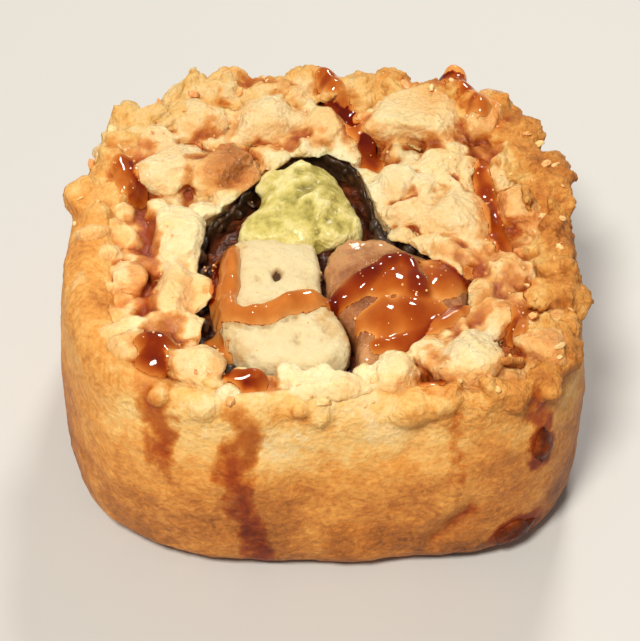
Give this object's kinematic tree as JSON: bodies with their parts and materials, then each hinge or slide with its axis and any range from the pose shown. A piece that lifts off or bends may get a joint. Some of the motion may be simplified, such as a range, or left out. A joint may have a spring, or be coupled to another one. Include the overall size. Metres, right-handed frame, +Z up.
{
  "type": "piece of fried sushi roll",
  "caption": "Thick slice of a battered and fried sushi roll on its cut face: rice round a seaweed sheet with avocado, cream cheese and salmon, drizzled with dark sweet sauce.",
  "frame": {"origin": "the middle of the slice's footprint, on the lower cut face that it rests on", "axes": "+Z up along the roll's own length, -Y towards the viewer of the picture, +X to the viewer's right"},
  "size_m": [0.0536, 0.0529, 0.0259],
  "materials": {
    "batter": "crisp fried batter, golden to brown",
    "rice": "moist sticky rice",
    "nori": "damp dried seaweed",
    "avocado": "soft ripe flesh",
    "cream_cheese": "smooth soft cheese",
    "salmon": "cooked flesh under a glossy glaze",
    "sauce": "glossy thick sweet sauce"
  },
  "bodies": {
    "root": {"rice_with_batter": "batter", "nori": "nori", "avocado": "avocado", "cream_cheese": "cream_cheese", "salmon": "salmon"}
  },
  "joints": []
}
